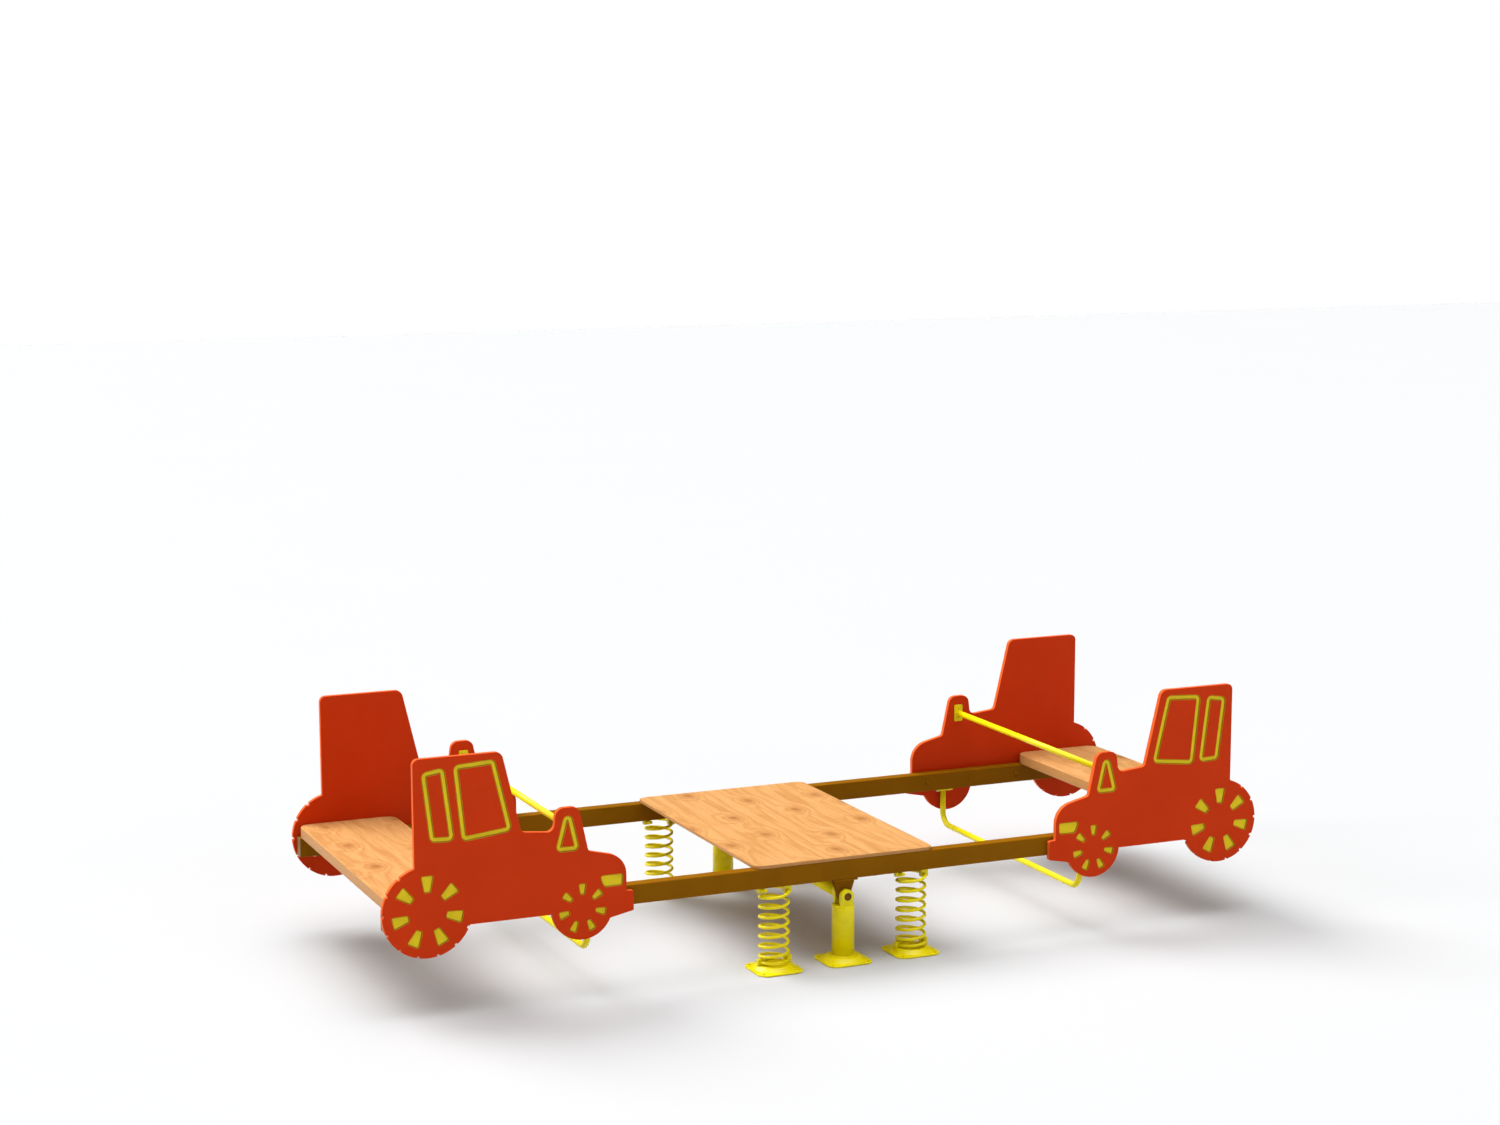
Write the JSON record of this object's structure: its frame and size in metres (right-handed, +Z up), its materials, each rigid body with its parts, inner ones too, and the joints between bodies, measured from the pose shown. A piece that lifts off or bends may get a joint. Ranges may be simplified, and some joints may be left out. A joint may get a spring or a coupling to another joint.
{
  "type": "playground seesaw",
  "caption": "Platform seesaw on coil springs: a deck and end seats on two rails, tractor-shaped side panels, handle bars and footrests, rocking on a central pivot.",
  "frame": {"origin": "on the ground, under the centre of the seesaw", "axes": "+X along the seesaw, +Y across it, +Z up"},
  "size_m": [3.2058, 1.181, 0.831],
  "materials": {
    "yellow_steel": "glossy powder coat",
    "brown_steel": "satin powder coat",
    "cap_plastic": "matte moulded",
    "bush": "matte",
    "zinc_steel": "zinc plated",
    "plywood": "satin varnish",
    "red_sheet": "fine matte, engraved through to a yellow core"
  },
  "bodies": {
    "base": {"post_foot_near": "yellow_steel", "post_foot_far": "yellow_steel", "spring_foot_near_left": "yellow_steel", "spring_foot_near_right": "yellow_steel", "spring_foot_far_left": "yellow_steel", "spring_foot_far_right": "yellow_steel", "post_near": "yellow_steel", "post_far": "yellow_steel", "cross_tube": "yellow_steel", "bushes_near": "bush", "bushes_far": "bush", "spring_near_left": "yellow_steel", "spring_near_right": "yellow_steel", "spring_far_left": "yellow_steel", "spring_far_right": "yellow_steel", "lower_clips_near_left": "yellow_steel", "lower_clips_near_right": "yellow_steel", "lower_clips_far_left": "yellow_steel", "lower_clips_far_right": "yellow_steel"},
    "rocker": {"handle_left": "yellow_steel", "handle_right": "yellow_steel", "footrest_left": "yellow_steel", "footrest_right": "yellow_steel", "upper_clips_near_left": "yellow_steel", "upper_clips_near_right": "yellow_steel", "upper_clips_far_left": "yellow_steel", "upper_clips_far_right": "yellow_steel", "rail_near": "brown_steel", "rail_far": "brown_steel", "hanger_near": "brown_steel", "hanger_far": "brown_steel", "deck_bearer_left": "brown_steel", "deck_bearer_right": "brown_steel", "seat_bearer_left": "brown_steel", "seat_bearer_right": "brown_steel", "end_caps_near": "cap_plastic", "end_caps_far": "cap_plastic", "pin_near": "zinc_steel", "pin_far": "zinc_steel", "deck_bolts": "zinc_steel", "seat_bolts_left": "zinc_steel", "seat_bolts_right": "zinc_steel", "panel_bolts_near_left": "zinc_steel", "panel_bolts_near_right": "zinc_steel", "panel_bolts_far_left": "zinc_steel", "panel_bolts_far_right": "zinc_steel", "handle_screws_left": "zinc_steel", "handle_screws_right": "zinc_steel", "footrest_bolts_left": "zinc_steel", "footrest_bolts_right": "zinc_steel", "deck": "plywood", "seat_left": "plywood", "seat_right": "plywood", "panel_near_left": "red_sheet", "panel_near_right": "red_sheet", "panel_far_left": "red_sheet", "panel_far_right": "red_sheet"}
  },
  "joints": [
    {"name": "rock", "type": "hinge", "parent": "base", "child": "rocker", "pos_m": [0, 0, 0.227], "axis": [0, 1, 0], "range_deg": [-6, 6], "stiffness_Nm_per_rad": 5000, "deforming": ["spring_near_left", "spring_near_right", "spring_far_left", "spring_far_right"]}
  ]
}
